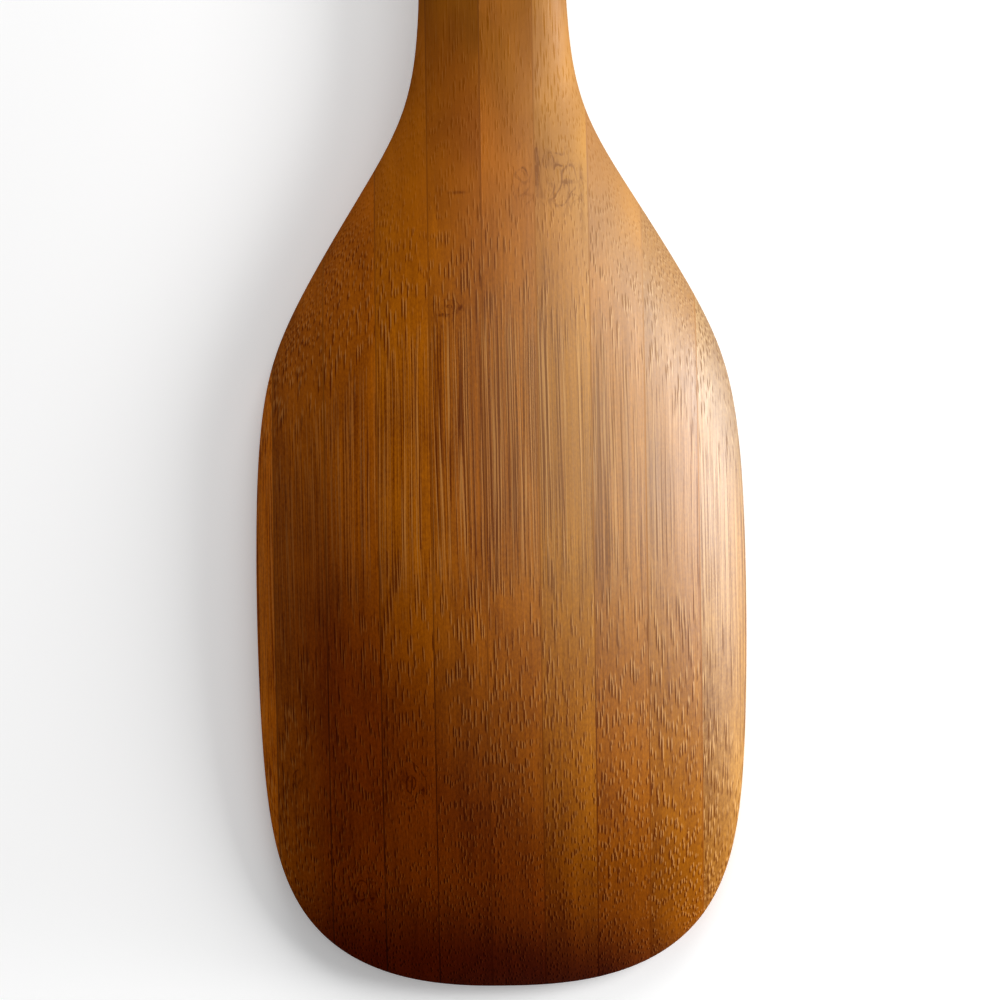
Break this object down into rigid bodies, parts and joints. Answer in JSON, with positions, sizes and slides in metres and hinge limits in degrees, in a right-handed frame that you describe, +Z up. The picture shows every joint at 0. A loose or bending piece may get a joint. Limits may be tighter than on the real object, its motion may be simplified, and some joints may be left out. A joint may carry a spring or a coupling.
{
  "type": "serving spoon",
  "caption": "Bamboo serving spoon made of edge-glued staves, with a broad domed head hollowed on its face, a slim neck and a handle with a hanging hole.",
  "frame": {"origin": "middle of the footprint, on the surface that the spoon lies on face down", "axes": "+Z up, out of the rounded back; +Y from the tip of the head to the end of the handle; +X to the right as seen from above"},
  "size_m": [0.062, 0.3, 0.0175],
  "materials": {
    "bamboo_dark": "carbonised bamboo, sanded and oiled, satin",
    "bamboo_mid": "carbonised bamboo, sanded and oiled, satin",
    "bamboo_light": "carbonised bamboo, sanded and oiled, satin",
    "bamboo_pale": "carbonised bamboo, sanded and oiled, satin",
    "glue": "cured wood glue, sanded flush and darkened"
  },
  "bodies": {
    "root": {"stave_left_5": "bamboo_mid", "stave_left_4": "bamboo_dark", "stave_left_3": "bamboo_dark", "stave_left_2": "bamboo_mid", "stave_left_1": "bamboo_mid", "stave_right_1": "bamboo_mid", "stave_right_2": "bamboo_light", "stave_right_3": "bamboo_mid", "stave_right_4": "bamboo_light", "stave_right_5": "bamboo_pale", "glue_left_4": "glue", "glue_left_3": "glue", "glue_left_2": "glue", "glue_left_1": "glue", "glue_middle": "glue", "glue_right_1": "glue", "glue_right_2": "glue", "glue_right_3": "glue", "glue_right_4": "glue"}
  },
  "joints": []
}
